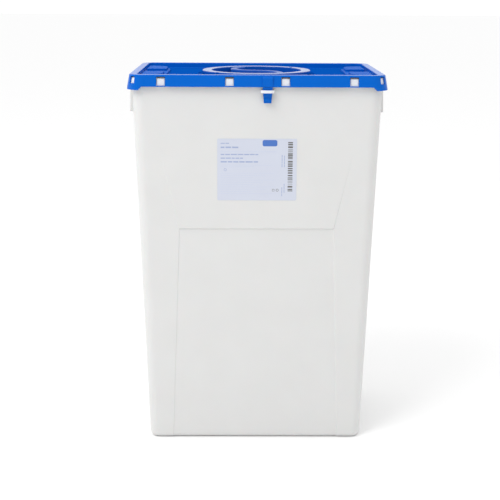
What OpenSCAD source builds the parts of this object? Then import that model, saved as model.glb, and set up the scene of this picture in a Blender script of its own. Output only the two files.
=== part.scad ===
// Tall rectangular waste tub with a snap-fit lid, a twist-lock port cap and a lock tab.
// Origin: centre of the base. +Z up, the front faces -Y.

/* [Overall] */
// Height from the floor to the top of the lid's rim
overall_h = 680; // [560:5:820]
// Width over the lid's corners
lid_w = 456; // [380:2:560]
// Depth over the lid's corners
lid_d = 320; // [266:2:400]

/* [Tub] */
// Slope of the tub's walls, in degrees
tub_draft = 1.78; // [0.5:0.01:2.5]
// Wall thickness of the tub
tub_wall = 3; // [2:0.1:4]
// Floor thickness of the tub
tub_floor = 4; // [3:0.1:8]
// Radius of the tub's upright corners at the rim
tub_corner_r = 21; // [16:0.5:24]
// Rounding between the tub's walls and its floor
base_edge_r = 10; // [4:0.5:14]
// Depth of the recessed front and rear panels
panel_depth = 1; // [0.4:0.1:1.6]
// Height of the recessed panels' upper edge above the floor
panel_h = 407; // [300:1:440]
// Half width of the recessed panels at their upper edge
panel_top_hw = 138; // [100:1:150]
// Half width of the recessed panels at the floor
panel_foot_hw = 154; // [100:1:160]
// Height of the raised field above each recessed panel
field_h = 149; // [80:1:150]
// Half width of the raised field at its upper edge
field_top_hw = 172; // [120:1:180]

/* [Lid] */
// Height of the skirt between the corners
skirt_h = 20; // [16:0.5:26]
// How much deeper the skirt is at the corners
corner_drop = 6; // [3:0.5:10]
// Length of each deeper corner along the front and sides
corner_len = 27; // [24:0.5:40]
// How far the skirt spreads from its top to the corners' lower edge
skirt_flare = 5; // [2:0.5:7]
// Wall thickness of the lid
lid_wall = 2.5; // [2:0.1:3]
// Width of the lid's raised rim
rim_w = 13; // [12:0.5:18]
// Radius of the lid's upright corners at its top
lid_corner_r = 25; // [24.5:0.5:30]
// Depth of the deck below the rim
deck_depth = 10; // [8:0.5:14]

/* [Snap windows] */
// Width of each window in the skirt
window_w = 15; // [10:0.5:20]
// Height of the windows in the straight runs
window_h = 15.2; // [13:0.1:16]
// Distance of the inner front windows from the middle
window_x1 = 48.4; // [30:0.2:60]
// Distance of the outer front windows from the middle
window_x2 = 167; // [90:1:170]
// Distance of the side windows from the middle
window_y = 62; // [40:1:80]
// Height of the corner windows
corner_window_h = 12; // [8:0.5:13]
// Width of the corner windows
corner_window_w = 11; // [6:0.5:14]

/* [Port] */
// Outer radius of the cap's flange
cap_r = 100; // [94:0.5:104]
// Width of the cap's flat flange ring
cap_ring_w = 17; // [14:0.5:20]
// Depth of the dish in the cap
dish_depth = 24; // [20:0.5:34]
// Wall thickness of the cap
cap_wall = 2.5; // [2:0.1:3]
// How far the cap turns from unlocked to locked, in degrees
cap_turn = 50; // [30:1:60]
// Thickness of the grip web in the dish
grip_t = 12; // [8:0.5:18]
// Sideways bulge of each half of the grip web
grip_bulge = 27; // [15:0.5:32]
// Height of the round collar's seat above the deck
collar_h = 3.5; // [2:0.1:4]

/* [Lock tab and strap] */
// Distance of the lock tab from the middle, to the right
tab_x = 17.4; // [-20:0.2:22]
// Width of the lock tab at its root
tab_w = 17.6; // [12:0.2:24]
// Width of the lock tab at its tip
tab_tip_w = 13; // [8:0.2:17]
// Length of the lock tab below the skirt
tab_len = 28; // [22:0.5:36]
// Thickness of the lock tab
tab_t = 2.4; // [1.8:0.1:3]
// Height of the strap's band
strap_h = 5; // [4:0.2:8]
// Thickness of the strap's band
strap_t = 2.4; // [2:0.1:3.4]

/* [Side grips] */
// Length of each side grip
grip_len = 140; // [90:2:180]
// How far each grip stands out from the tub at its lower edge
grip_out = 13; // [11:0.5:20]
// Height of each side grip
grip_h = 44; // [34:1:60]
// Wall thickness of the grips
grip_wall = 2.5; // [2:0.1:3.5]

/* [Seals and label] */
// Height of the lid gasket
gasket_t = 2; // [1.5:0.1:4]
// Width of the label
label_w = 140; // [80:1:180]
// Height of the label
label_h = 110.5; // [70:0.5:120]
// Thickness of the label
label_t = 0.3; // [0.2:0.05:0.5]

/* [Hidden] */
$fn = 64;
tub_color = "whitesmoke";
lid_color = "royalblue";
seal_color = "dimgray";
label_color = "lavender";
// Thickness of the slices that a hull spans, and the overrun of cuts
slice = 0.01;
over = 1;
// What is moulded on a faceted wall stands this far off its nominal face
touch = 0.005;
corner_touch = 0.05;
// Clearances between pieces that move apart
seat_gap = 0.3;
slip_gap = 0.4;
rim_gap = 1.4;
tab_root_gap = 0.5;

// The raised field starts this far inside the panel's upper corners
field_side_in = 0.5;

// Lid levels and half sizes at its top
skirt_full = skirt_h + corner_drop;
top_hw = lid_w / 2 - skirt_flare;
top_hd = lid_d / 2 - skirt_flare;
deck_z = overall_h - deck_depth;
lid_edge_r = 2;
// Half size of the skirt's outside grows with the distance below the top
function flare(z) = skirt_flare * (overall_h - z) / skirt_full;

// Tub half sizes at a height, measured inwards from the skirt's inner face
tub_hw_top = top_hw - lid_wall - rim_gap;
tub_hd_top = top_hd - lid_wall - rim_gap;
function tub_in(z) = (overall_h - z) * tan(tub_draft);
function tub_hw(z) = tub_hw_top - tub_in(z);
function tub_hd(z) = tub_hd_top - tub_in(z);
// The corner radius shrinks a little towards the floor
corner_shrink = 0.15;
function tub_r(z) = tub_corner_r * (1 - corner_shrink * (overall_h - z) / overall_h);
tub_top = overall_h - lid_wall - gasket_t - seat_gap;

// Windows and lugs
window_top = overall_h - lid_wall - 0.5;
window_taper = 0.5;
window_reach = 8;
lug_side_gap = 0.8;
lug_top = window_top - 3.6;
corner_lug_top = tub_top - 0.3;

// Port: the neck's bore, the bayonet lugs on the cap and the ledges in the neck
ring_z = overall_h - 2;
flange_z = ring_z - cap_wall;
dish_r = cap_r - cap_ring_w;
plug_r = dish_r + cap_wall;
lug_reach = 2.4;
neck_r = plug_r + lug_reach + slip_gap;
collar_top = deck_z + collar_h;
collar_r = cap_r - cap_wall - 0.3;
neck_wall = 2.5;
dish_z = ring_z - dish_depth;
plug_z = dish_z - cap_wall;
neck_bottom = plug_z - 5.5;
lip_bottom = deck_z + 1.1;
lug_angle = 225;
lug_half = 9;
ledge_start_gap = 2;
stop_gap = 0.4;
stop_span = 5;
cap_lug_h = 4.2;
ledge_h = 3;
ledge_z = plug_z + cap_lug_h + slip_gap + 0.3;
notch_half = 1.6;
notch_depth = 1.4;
nub_r = 3.2;
nub_h = 1.2;
dish_fillet = 6;

// Side grips: gap below the lid's corners, edge chamfer, and how much more they stand out at the bottom
grip_below_lid = 2.5;
grip_edge = 3;
grip_lean = 1.5;

// Deck bead round the port, steps and pads at the ends
bead_r = cap_r + 8;
bead_w = 3;
bead_h = 1.5;
inner_hw = top_hw - rim_w;
inner_hd = top_hd - rim_w;
rim_inner_r = lid_corner_r - rim_w;
step_w = 46;
step_hd = 112;
step_r = 40;
step_h = 3;
pad_h = 7;
pad_in = 5;
pad_y0 = 28;

// Lock tab, its barb, and the strap in front of it
tab_face = top_hd + flare(overall_h - skirt_h) + 0.8;
tab_top = overall_h - skirt_h - tab_root_gap;
tab_bottom = tab_top - tab_len + tab_root_gap;
tab_lean = 3;
barb_top = tab_bottom + 9.3;
barb_peak = tab_bottom + 5.6;
strap_z = overall_h - skirt_h - 10.3;
strap_in = tab_face + 1.2;
strap_bow = 2;
strap_side_gap = 0.8;
strap_post = 2.2;

module rounded(hw, hd, r) {
  translate([-hw, -hd + r]) square([2 * hw, 2 * (hd - r)]);
  translate([-hw + r, -hd]) square([2 * (hw - r), 2 * hd]);
  for (sx = [-1, 1], sy = [-1, 1]) translate([sx * (hw - r), sy * (hd - r)]) circle(r);
}

// Points of a rounded outline, one quarter after another, for the layers that a hull spans
corner_steps = 8;
function outline_points(hw, hd, r) = [
  for (q = [0 : 3], i = [0 : corner_steps])
    let (a = 90 * (q + i / corner_steps))
    [((q == 0 || q == 3) ? 1 : -1) * (hw - r) + r * cos(a), (q < 2 ? 1 : -1) * (hd - r) + r * sin(a)]
];

module layer(z, hw, hd, r, thick = slice) {
  translate([0, 0, z]) linear_extrude(thick) polygon(outline_points(hw, hd, r));
}

module block(z0, z1, hw, hd, r) {
  translate([0, 0, z0]) linear_extrude(z1 - z0) rounded(hw, hd, r);
}

// An arc-shaped bar between two radii, two heights and two angles (less than 180 degrees apart)
module arc_bar(r0, r1, z0, z1, a0, a1) {
  reach = 2 * r1;
  translate([0, 0, z0]) linear_extrude(z1 - z0) intersection() {
    difference() {
      circle(r1, $fn = 128);
      circle(r0, $fn = 128);
    }
    polygon([[0, 0], [reach * cos(a0), reach * sin(a0)],
             [reach * cos((a0 + a1) / 2), reach * sin((a0 + a1) / 2)] * 1.5,
             [reach * cos(a1), reach * sin(a1)]]);
  }
}

// Lays flat work on the sloping front wall, with its own origin at height z
module on_front(z, lift = 0, tilt = 0) {
  translate([0, -tub_hd(z), z]) rotate([90 + tub_draft + tilt, 0, 0]) translate([0, 0, lift]) children();
}

module front_and_back() {
  children();
  rotate([0, 0, 180]) children();
}

// ---- Tub and what is moulded on it ----
module tub_shell() {
  difference() {
    hull() {
      layer(0, tub_hw(0) - base_edge_r * 0.7, tub_hd(0) - base_edge_r * 0.7, tub_r(0));
      layer(base_edge_r * 0.3, tub_hw(0) - base_edge_r * 0.2, tub_hd(0) - base_edge_r * 0.2, tub_r(0));
      layer(base_edge_r, tub_hw(base_edge_r), tub_hd(base_edge_r), tub_r(0));
      layer(tub_top - slice, tub_hw(tub_top), tub_hd(tub_top), tub_r(tub_top));
    }
    hull() {
      layer(tub_floor, tub_hw(0) - tub_wall - base_edge_r * 0.7, tub_hd(0) - tub_wall - base_edge_r * 0.7,
            tub_r(0) - tub_wall);
      layer(tub_floor + base_edge_r, tub_hw(base_edge_r) - tub_wall, tub_hd(base_edge_r) - tub_wall,
            tub_r(0) - tub_wall);
      layer(tub_top - slice, tub_hw(tub_top) - tub_wall, tub_hd(tub_top) - tub_wall,
            tub_r(tub_top) - tub_wall, thick = slice + over);
    }
  }
}

module panel_recess() {
  on_front(panel_h, -panel_depth)
    linear_extrude(2 * panel_depth + over)
      polygon([[-panel_top_hw, 0], [panel_top_hw, 0],
               [panel_foot_hw, -panel_h - over], [-panel_foot_hw, -panel_h - over]]);
}

// A wedge that is flush at its upper edge and stands proud by panel_depth at its lower edge
module raised_field() {
  foot = panel_top_hw - field_side_in;
  rise = panel_depth / field_h;
  on_front(panel_h) intersection() {
    translate([0, 0, -over]) linear_extrude(panel_depth + 2 * over)
      polygon([[-foot, -over], [foot, -over], [field_top_hw, field_h + over], [-field_top_hw, field_h + over]]);
    rotate([0, 90, 0]) linear_extrude(2 * field_top_hw + over, center = true)
      polygon([[over, -over], [-panel_depth - rise * over, -over], [rise * over, field_h + over],
               [over, field_h + over]]);
  }
}

module tub() {
  color(tub_color) difference() {
    union() {
      tub_shell();
      front_and_back() raised_field();
    }
    front_and_back() panel_recess();
  }
}

// One wedge lug on a wall whose tub face is at hd_top (at the lid's top level); it faces -Y
module wall_lug(hd_top) {
  lug_bottom = window_top - window_h;
  face_top = hd_top + rim_gap - slip_gap;
  linear_extrude(window_w - 2 * lug_side_gap, center = true)
    polygon([[hd_top - tub_in(lug_bottom) + touch, lug_bottom], [face_top + flare(lug_bottom), lug_bottom],
             [face_top + flare(lug_top), lug_top], [hd_top - tub_in(lug_top) + touch, lug_top]]);
}

// Turns a profile drawn as (outwards, up) so that outwards is -Y
module stand_front() {
  rotate([90, 0, -90]) children();
}

module snap_lugs() {
  color(tub_color) {
    front_and_back() for (x = [-window_x2, -window_x1, window_x1, window_x2])
      translate([x, 0, 0]) stand_front() wall_lug(tub_hd_top);
    for (a = [90, -90], y = [-window_y, window_y])
      translate([0, y, 0]) rotate([0, 0, a]) stand_front() wall_lug(tub_hw_top);
    for (sx = [-1, 1], sy = [-1, 1]) corner_lug(sx, sy);
  }
}

// A curved lug round an upright corner, behind the corner window
module corner_lug(sx, sy) {
  r1 = lid_corner_r - lid_wall - slip_gap;
  bottom = window_top - corner_window_h;
  difference() {
    translate([sx * (top_hw - lid_corner_r), sy * (top_hd - lid_corner_r), bottom])
      rotate([0, 0, atan2(sy, sx)]) linear_extrude(corner_lug_top - bottom) intersection() {
        circle(r1);
        translate([0, -corner_window_w / 2 + lug_side_gap])
          square([r1 + over, corner_window_w - 2 * lug_side_gap]);
      }
    hull() for (z = [bottom - over, corner_lug_top + over])
      layer(z, tub_hw(z) + corner_touch, tub_hd(z) + corner_touch, tub_r(z) + corner_touch);
  }
}

module lock_strap() {
  half = tab_w / 2 + strap_side_gap;
  out = strap_in + strap_bow;
  // The band's front runs on an arc through its two corners and the middle of the bow
  bow_r = (half * half + strap_bow * strap_bow) / (2 * strap_bow);
  wall_y = tub_hd(strap_z);
  color(tub_color) translate([tab_x, 0, strap_z]) difference() {
    linear_extrude(strap_h) difference() {
      union() {
        intersection() {
          translate([0, -out + bow_r]) circle(bow_r + strap_t, $fn = 128);
          translate([-half - strap_post, -out - strap_t - over])
            square([2 * (half + strap_post), out + strap_t + over - wall_y]);
        }
      }
      intersection() {
        translate([0, -out + bow_r]) circle(bow_r, $fn = 128);
        translate([-half, -out - over]) square([2 * half, out + 2 * over]);
      }
    }
    on_wall_clear();
  }
}

// What lies behind the tub's sloping front face, at the strap's own origin
module on_wall_clear() {
  stand_front() linear_extrude(4 * tab_w, center = true)
    polygon([[0, -over], [tub_hd(strap_z - over) + touch, -over],
             [tub_hd(strap_z + strap_h + over) + touch, strap_h + over], [0, strap_h + over]]);
}

// A hollow grip that is open below, drawn as (outwards, up) and swept along the side wall
module side_grip(side) {
  top = overall_h - skirt_full - grip_below_lid;
  bottom = top - grip_h;
  out_top = tub_hw(bottom) + grip_out - grip_lean;
  out_bottom = tub_hw(bottom) + grip_out;
  color(tub_color) rotate([0, 0, side * 90]) difference() {
    stand_front() linear_extrude(grip_len, center = true)
      polygon([[tub_hw(bottom) + touch, bottom], [out_bottom, bottom], [out_top, top - grip_edge],
               [out_top - grip_edge, top], [tub_hw(top) + touch, top]]);
    stand_front() linear_extrude(grip_len - 2 * grip_wall, center = true)
      polygon([[tub_hw(bottom) - over, bottom - over], [out_bottom - grip_wall, bottom - over],
               [out_top - grip_wall, top - grip_edge - grip_wall / 2],
               [out_top - grip_edge - grip_wall / 2, top - grip_wall], [tub_hw(top) - over, top - grip_wall]]);
  }
}

module side_grip_left() {
  side_grip(-1);
}

module side_grip_right() {
  side_grip(1);
}

// How far the raised field stands off the wall at a distance up the wall from its foot
function field_lift(up) = panel_depth * max(0, 1 - up / field_h);

// The flat label rests on the raised field at its lower edge, and on the field or the wall at its upper edge
label_up = 52;
module front_label() {
  foot_lift = field_lift(label_up);
  lean = atan((foot_lift - field_lift(label_up + label_h)) / label_h);
  color(label_color) on_front(panel_h) translate([0, label_up, foot_lift + touch]) rotate([-lean, 0, 0])
    translate([-label_w / 2, 0, 0]) linear_extrude(label_t) square([label_w, label_h]);
}

// ---- Lid and what is moulded on it ----
module skirt_body(inset, z_over) {
  hull() {
    layer(overall_h - skirt_full - z_over, lid_w / 2 - inset, lid_d / 2 - inset,
          lid_corner_r + skirt_flare - inset);
    layer(overall_h - lid_edge_r, top_hw + flare(overall_h - lid_edge_r) - inset,
          top_hd + flare(overall_h - lid_edge_r) - inset, lid_corner_r - inset);
    layer(overall_h - slice, top_hw - lid_edge_r * 0.6 - inset, top_hd - lid_edge_r * 0.6 - inset,
          lid_corner_r - lid_edge_r * 0.6 - inset);
  }
}

// What is cut below the skirt between two deeper corners, drawn as (along, up).
// Its ends slope down to the corners.
module skirt_gap(half_len) {
  low = overall_h - skirt_h;
  linear_extrude(2 * lid_w, center = true)
    polygon([[-half_len, low], [half_len, low], [half_len + corner_drop + over, low - corner_drop - over],
             [-half_len - corner_drop - over, low - corner_drop - over]]);
}

module window_cut(height, width) {
  translate([0, 0, window_top - height]) rotate([90, 0, 0]) linear_extrude(2 * window_reach, center = true)
    polygon([[-width / 2 + window_taper, 0], [width / 2 - window_taper, 0], [width / 2, height],
             [-width / 2, height]]);
}

module lid() {
  channel_hw = inner_hw + lid_wall;
  channel_hd = inner_hd + lid_wall;
  channel_r = rim_inner_r + lid_wall;
  color(lid_color) difference() {
    union() {
      difference() {
        skirt_body(0, 0);
        // Channel for the tub's rim, open below; its roof is the rim's top plate
        intersection() {
          skirt_body(lid_wall, over);
          translate([0, 0, -over]) block(0, overall_h - lid_wall + over, lid_w, lid_d, lid_corner_r);
        }
        // The recess over the deck
        block(deck_z - over, overall_h + over, inner_hw, inner_hd, rim_inner_r);
      }
      // Inner wall of the rim, down to the deck
      difference() {
        block(deck_z - lid_wall, overall_h - lid_wall, channel_hw, channel_hd, channel_r);
        block(deck_z, overall_h, inner_hw, inner_hd, rim_inner_r);
      }
      // Round bead on the deck
      translate([0, 0, deck_z - over]) difference() {
        cylinder(h = bead_h + over, r = bead_r + bead_w, $fn = 128);
        cylinder(h = bead_h + over, r = bead_r, $fn = 128);
      }
      // Proud strip that leads down to the lock tab
      translate([tab_x - tab_w / 2, -tab_face, overall_h - skirt_h])
        cube([tab_w, lid_wall, skirt_h - lid_edge_r]);
    }
    translate([0, 0, deck_z - 2 * lid_wall]) cylinder(h = 4 * lid_wall, r = collar_r, $fn = 128);
    rotate([90, 0, 0]) skirt_gap(lid_w / 2 - corner_len);
    rotate([90, 0, 90]) skirt_gap(lid_d / 2 - corner_len);
    front_and_back() for (x = [-window_x2, -window_x1, window_x1, window_x2])
      translate([x, -top_hd - lid_wall, 0]) window_cut(window_h, window_w);
    for (sx = [-1, 1], y = [-window_y, window_y])
      translate([sx * (top_hw + lid_wall), y, 0]) rotate([0, 0, 90]) window_cut(window_h, window_w);
    for (sx = [-1, 1], sy = [-1, 1])
      translate([sx * (top_hw - lid_corner_r), sy * (top_hd - lid_corner_r), 0])
        rotate([0, 0, atan2(sy, sx) + 90]) translate([0, -lid_corner_r - lid_wall, 0])
          window_cut(corner_window_h, corner_window_w);
  }
}

module port_neck() {
  color(lid_color) {
    rotate_extrude($fn = 128) {
      translate([neck_r, deck_z - lid_wall]) square([collar_r - neck_r, collar_top - deck_z + lid_wall]);
      translate([neck_r, neck_bottom]) square([neck_wall, deck_z - neck_bottom]);
    }
    for (turn = [0, 180]) rotate([0, 0, lug_angle + turn]) {
      park = lug_half + stop_gap;
      locked = -lug_half - cap_turn - stop_gap;
      ledge_top = ledge_z + ledge_h;
      bar_in = plug_r + slip_gap;
      bar_out = neck_r + over;
      arc_bar(bar_in, bar_out, ledge_z, ledge_top, locked, -lug_half - ledge_start_gap);
      arc_bar(bar_in, bar_out, plug_z, ledge_top, locked - stop_span, locked);
      arc_bar(bar_in, bar_out, plug_z, ledge_top, park, park + stop_span);
    }
  }
}

// One end step, hollow below, with two pads on it; drawn for the right-hand end
module end_step() {
  skin = lid_wall;
  module outline(inset) {
    half = step_w / 2 + step_r / 2;
    intersection() {
      translate([inner_hw - step_w + half, 0]) rounded(half - inset, step_hd - inset, step_r - inset);
      translate([inner_hw - step_w - over, -step_hd]) square([step_w + over - inset, 2 * step_hd]);
    }
  }
  module pads(inset) {
    pad_middle = (pad_y0 + step_hd) / 2;
    pad_half = (step_hd - pad_y0) / 2 - inset;
    intersection() {
      outline(pad_in + inset);
      for (sy = [-1, 1]) translate([inner_hw - step_w, sy * pad_middle - pad_half])
        square([2 * step_w, 2 * pad_half]);
    }
  }
  difference() {
    union() {
      translate([0, 0, deck_z]) linear_extrude(step_h) outline(0);
      translate([0, 0, deck_z]) linear_extrude(pad_h) pads(0);
    }
    translate([0, 0, deck_z]) linear_extrude(pad_h - skin) pads(skin);
  }
}

module stacking_pads() {
  color(lid_color) {
    end_step();
    rotate([0, 0, 180]) end_step();
  }
}

module lid_gasket() {
  roof = overall_h - lid_wall;
  inset = 0.7;
  color(seal_color) difference() {
    block(roof - gasket_t, roof, tub_hw_top + inset, tub_hd_top + inset, tub_corner_r + inset);
    block(roof - gasket_t - over, roof + over, inner_hw + lid_wall + inset, inner_hd + lid_wall + inset,
          rim_inner_r + lid_wall + inset);
  }
}

// ---- Port cap ----
module port_gasket() {
  inner = neck_r + 1.5;
  color(seal_color) translate([0, 0, collar_top + seat_gap]) difference() {
    cylinder(h = flange_z - collar_top - seat_gap, r = collar_r - 1.5, $fn = 128);
    translate([0, 0, -over]) cylinder(h = 2 * gasket_t + 2 * over, r = inner, $fn = 128);
  }
}

// Half section of the cap: flange, lip, plug wall and dish floor with a rounded inner corner
module cap_section() {
  difference() {
    union() {
      translate([0, plug_z]) square([plug_r, flange_z - plug_z]);
      translate([0, flange_z]) square([cap_r, cap_wall]);
      translate([cap_r - cap_wall + 0.3, lip_bottom]) square([cap_wall - 0.3, flange_z - lip_bottom]);
    }
    dish_section();
  }
}

// Half section of the dish's hollow
module dish_section() {
  translate([0, dish_z + dish_fillet]) square([dish_r, dish_depth - dish_fillet + over]);
  translate([0, dish_z]) square([dish_r - dish_fillet, dish_depth]);
  intersection() {
    translate([dish_r - dish_fillet, dish_z + dish_fillet]) circle(dish_fillet);
    translate([0, dish_z]) square([dish_r, dish_depth]);
  }
}

module port_cap() {
  color(lid_color) {
    difference() {
      rotate_extrude($fn = 128) cap_section();
      arc_bar(cap_r - notch_depth, cap_r + over, lip_bottom - over, ring_z + over,
              lug_angle - notch_half, lug_angle + notch_half);
    }
    for (turn = [0, 180])
      arc_bar(plug_r - over, plug_r + lug_reach, plug_z, plug_z + cap_lug_h,
              lug_angle + turn - lug_half, lug_angle + turn + lug_half);
    rotate([0, 0, lug_angle - 180]) translate([cap_r - cap_ring_w / 3, 0, ring_z - over])
      cylinder(h = nub_h + over, r = nub_r);
  }
}

// S-shaped web across the dish: two arcs that meet at the middle with one tangent
grip_half_chord = dish_r / 2;
grip_arc_r = (grip_half_chord * grip_half_chord + grip_bulge * grip_bulge) / (2 * grip_bulge);
grip_top = ring_z - 1;
grip_heading = 20;
module cap_grip() {
  color(lid_color) rotate([0, 0, grip_heading]) intersection() {
    front_and_back() grip_arc();
    rotate_extrude($fn = 128) dish_section();
  }
}

module grip_arc() {
  translate([0, 0, dish_z]) linear_extrude(grip_top - dish_z) intersection() {
    translate([grip_bulge - grip_arc_r, -grip_half_chord]) difference() {
      circle(grip_arc_r + grip_t / 2, $fn = 128);
      circle(grip_arc_r - grip_t / 2, $fn = 128);
    }
    translate([-grip_t / 2, -2 * dish_r]) square([2 * dish_r, 2 * dish_r]);
  }
}

// ---- Lock tab ----
// Side view as (outwards, up): it hangs from the skirt, leans in, and its barb stops short of the strap
module lock_tab() {
  lean_at = tab_face - tab_lean;
  color(lid_color) translate([tab_x, 0, 0]) intersection() {
    stand_front() linear_extrude(2 * tab_w, center = true)
      polygon([[tab_face - tab_t, tab_top], [tab_face, tab_top], [lean_at, barb_top],
               [strap_in - seat_gap, barb_peak], [lean_at - 0.4, tab_bottom],
               [lean_at - tab_t, tab_bottom]]);
    rotate([90, 0, 0]) linear_extrude(2 * lid_d, center = true)
      polygon([[-tab_w / 2, tab_top], [tab_w / 2, tab_top], [tab_tip_w / 2, tab_bottom],
               [-tab_tip_w / 2, tab_bottom]]);
  }
}

tub();
snap_lugs();
lock_strap();
side_grip_left();
side_grip_right();
front_label();
lid();
port_neck();
stacking_pads();
lid_gasket();
port_gasket();
port_cap();
cap_grip();
lock_tab();
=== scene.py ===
"""Studio scene of a tall waste tub with a snap-fit lid, a twist-lock port cap and a lock tab.

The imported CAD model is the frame: origin at the centre of the base, +Z up, the front towards -Y.
Classes hold their sizes in millimetres, and a mesh turns to metres when it is made.
"""
import logging
import math
from dataclasses import dataclass
from enum import Enum
from typing import Any, Callable, Sequence

import bpy
import numpy as np
from mathutils import Matrix, Vector


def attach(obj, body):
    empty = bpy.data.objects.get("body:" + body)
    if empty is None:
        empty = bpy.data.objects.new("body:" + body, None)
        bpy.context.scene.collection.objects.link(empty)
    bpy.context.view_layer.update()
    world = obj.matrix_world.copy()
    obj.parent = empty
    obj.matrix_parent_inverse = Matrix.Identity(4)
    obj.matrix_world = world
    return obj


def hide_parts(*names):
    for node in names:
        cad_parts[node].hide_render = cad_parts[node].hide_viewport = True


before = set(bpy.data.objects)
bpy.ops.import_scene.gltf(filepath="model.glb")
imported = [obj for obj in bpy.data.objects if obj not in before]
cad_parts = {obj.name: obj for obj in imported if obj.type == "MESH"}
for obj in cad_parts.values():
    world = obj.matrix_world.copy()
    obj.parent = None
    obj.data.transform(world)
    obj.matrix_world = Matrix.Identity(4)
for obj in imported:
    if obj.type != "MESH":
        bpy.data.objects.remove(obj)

LOG = logging.getLogger("waste_tub")
MM = 0.001
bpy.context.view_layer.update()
TAU = 2 * math.pi
SCATTER_DEPTH_MM = 4.0
BEVEL_SEGMENTS = 3
BEVEL_DEGREES = 35.0


class Body(Enum):
    """The CAD bodies that the pieces ride on."""

    CONTAINER = "container"
    LID = "lid"
    PORT_GASKET = "port_gasket"
    PORT_CAP = "port_cap"
    LOCK_TAB = "lock_tab"


class Slot(Enum):
    """The record's material slots."""

    TUB = "tub_plastic"
    LID = "lid_plastic"
    SEAL = "seal_foam"
    LABEL = "label_film"


# ---- Surfaces worked out with numpy ----
@dataclass
class Surface:
    """Points in millimetres, faces as corner numbers, and one material number for each face."""

    points: np.ndarray
    faces: list[list[int]]
    marks: list[int]

    @staticmethod
    def join(parts: Sequence["Surface"]) -> "Surface":
        """Lays several surfaces into one, each keeping its own faces.

        Args:
            parts: The surfaces, in order.

        Returns:
            One surface with all their points and faces.
        """
        starts = np.cumsum([0] + [len(p.points) for p in parts[:-1]])
        faces = [[k + int(s) for k in f] for p, s in zip(parts, starts) for f in p.faces]
        marks = [m for p in parts for m in p.marks]
        return Surface(np.concatenate([p.points for p in parts]), faces, marks)

    def moved(self, by: Sequence[float]) -> "Surface":
        """The same surface, shifted."""
        return Surface(self.points + np.asarray(by, float), self.faces, self.marks)

    def turned(self, degrees: float) -> "Surface":
        """The same surface, turned about the Z axis."""
        a = math.radians(degrees)
        turn = np.array([[math.cos(a), -math.sin(a), 0], [math.sin(a), math.cos(a), 0], [0, 0, 1]])
        return Surface(self.points @ turn.T, self.faces, self.marks)

    def marked(self, mark: int) -> "Surface":
        """The same surface with one material number on every face."""
        return Surface(self.points, self.faces, [mark] * len(self.faces))


def sheet(grid: np.ndarray, wrap_rows: bool = False, wrap_columns: bool = True,
          caps: bool = False, keep: np.ndarray | None = None, marks: np.ndarray | None = None) -> Surface:
    """Quads between neighbouring points of a grid, facing along columns x rows.

    Args:
        grid: Points as (rows, columns, 3), in millimetres.
        wrap_rows: The last row joins the first one.
        wrap_columns: The last column joins the first one.
        caps: The first and last rows are closed with one flat face each.
        keep: Which cells stay, as (rows, columns) truths; all of them if left out.
        marks: Material number of each cell, as (rows, columns).

    Returns:
        The surface.
    """
    rows, columns = grid.shape[:2]
    i, j = np.meshgrid(np.arange(rows if wrap_rows else rows - 1),
                       np.arange(columns if wrap_columns else columns - 1), indexing="ij")
    up, right = (i + 1) % rows, (j + 1) % columns
    quads = np.stack([i * columns + j, i * columns + right, up * columns + right, up * columns + j], -1)
    cells = np.ones(quads.shape[:2], bool) if keep is None else keep[: quads.shape[0], : quads.shape[1]]
    number = np.zeros(cells.shape, int) if marks is None else marks[: quads.shape[0], : quads.shape[1]]
    faces, kinds = quads[cells].tolist(), number[cells].tolist()
    if caps:
        first, last = np.arange(columns), (rows - 1) * columns + np.arange(columns)
        faces += [first[::-1].tolist(), last.tolist()]
        kinds += [int(number[0, 0]), int(number[-1, 0])]
    return Surface(grid.reshape(-1, 3), faces, kinds)


def box(x0: float, x1: float, y0: float, y1: float) -> list[tuple[float, float]]:
    """The corners of a box, counter-clockwise from (x0, y0)."""
    return [(x0, y0), (x1, y0), (x1, y1), (x0, y1)]


def quarter(steps: int) -> np.ndarray:
    """Angles from 0 to 90 degrees in equal steps, in radians."""
    return np.linspace(0, math.pi / 2, steps + 1)


def full_turn(steps: int) -> np.ndarray:
    """Angles of a whole circle in equal steps, without the closing one, in radians."""
    return np.linspace(0, TAU, steps + 1)[:-1]


def at_height(outline: np.ndarray, z: float) -> np.ndarray:
    """An outline (n, 2) laid at one height, as (n, 3)."""
    return np.column_stack([outline, np.full(len(outline), z)])


def lifted(flat: np.ndarray, z: np.ndarray) -> np.ndarray:
    """Rows of flat points (rows, columns, 2), each row laid at its own height."""
    return np.concatenate([flat, np.repeat(z[:, None, None], flat.shape[1], 1)], 2)


def rounded_polygon(points: Sequence[Sequence[float]], radii: Sequence[float], steps: int = 4,
                    closed: bool = True) -> np.ndarray:
    """Rounds the corners of an outline: each corner gives way to an arc that touches both of its sides.

    The arc starts at the radius over the tangent of half the corner's angle before the corner, and its
    centre lies on the corner's halving line.

    Args:
        points: Corners (x, y) in order.
        radii: Rounding radius of each corner.
        steps: Segments in each arc.
        closed: False for an open line, whose ends stay as they are.

    Returns:
        Points (n, 2) along the rounded outline.
    """
    p, made = np.asarray(points, float), []
    for k, r in enumerate(radii):
        if r <= 0 or (not closed and k in (0, len(p) - 1)):
            made.append(p[k : k + 1])
            continue
        a, b = p[k - 1] - p[k], p[(k + 1) % len(p)] - p[k]
        a, b = a / np.linalg.norm(a), b / np.linalg.norm(b)
        half = math.acos(float(np.clip(a @ b, -1, 1))) / 2
        middle = (a + b) / np.linalg.norm(a + b)
        centre = p[k] + middle * r / math.sin(half)
        start, end = p[k] + a * r / math.tan(half) - centre, p[k] + b * r / math.tan(half) - centre
        sweep_angle = math.pi - 2 * half
        share = np.linspace(0, 1, steps + 1)[:, None]
        arc = (start * np.sin((1 - share) * sweep_angle) + end * np.sin(share * sweep_angle))
        made.append(centre + arc / math.sin(sweep_angle))
    return np.concatenate(made)


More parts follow.
